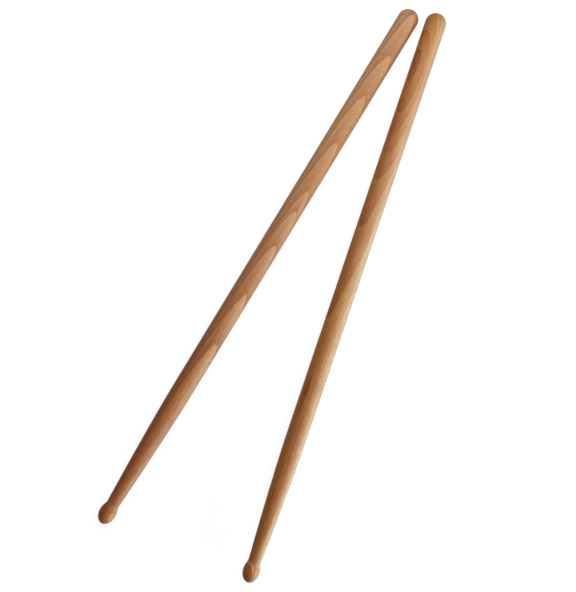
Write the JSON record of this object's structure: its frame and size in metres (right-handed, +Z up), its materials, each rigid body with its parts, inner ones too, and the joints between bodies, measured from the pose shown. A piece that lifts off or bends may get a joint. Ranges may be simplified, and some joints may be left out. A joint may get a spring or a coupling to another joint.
{
  "type": "drumsticks",
  "caption": "Turned wooden drumsticks with rounded butts, straight shafts, long tapers and oval beads, lying splayed; for striking drums and cymbals.",
  "frame": {"origin": "middle of the pair's footprint, on the surface that the sticks lie on", "axes": "+Z up; +Y halfway between the two sticks' axes, towards the butts, so the beads lie towards -Y; +X from the left stick to the right one"},
  "size_m": [0.1164, 0.409, 0.0143],
  "materials": {
    "left_stick_wood": "satin",
    "right_stick_wood": "satin"
  },
  "bodies": {
    "left_stick": {"left_stick": "left_stick_wood"},
    "right_stick": {"right_stick": "right_stick_wood"}
  },
  "joints": [
    {"name": "right_stick_lift", "type": "slide", "parent": "left_stick", "child": "right_stick", "axis": [0, 0, 1], "range_m": [0, 0.3]}
  ]
}
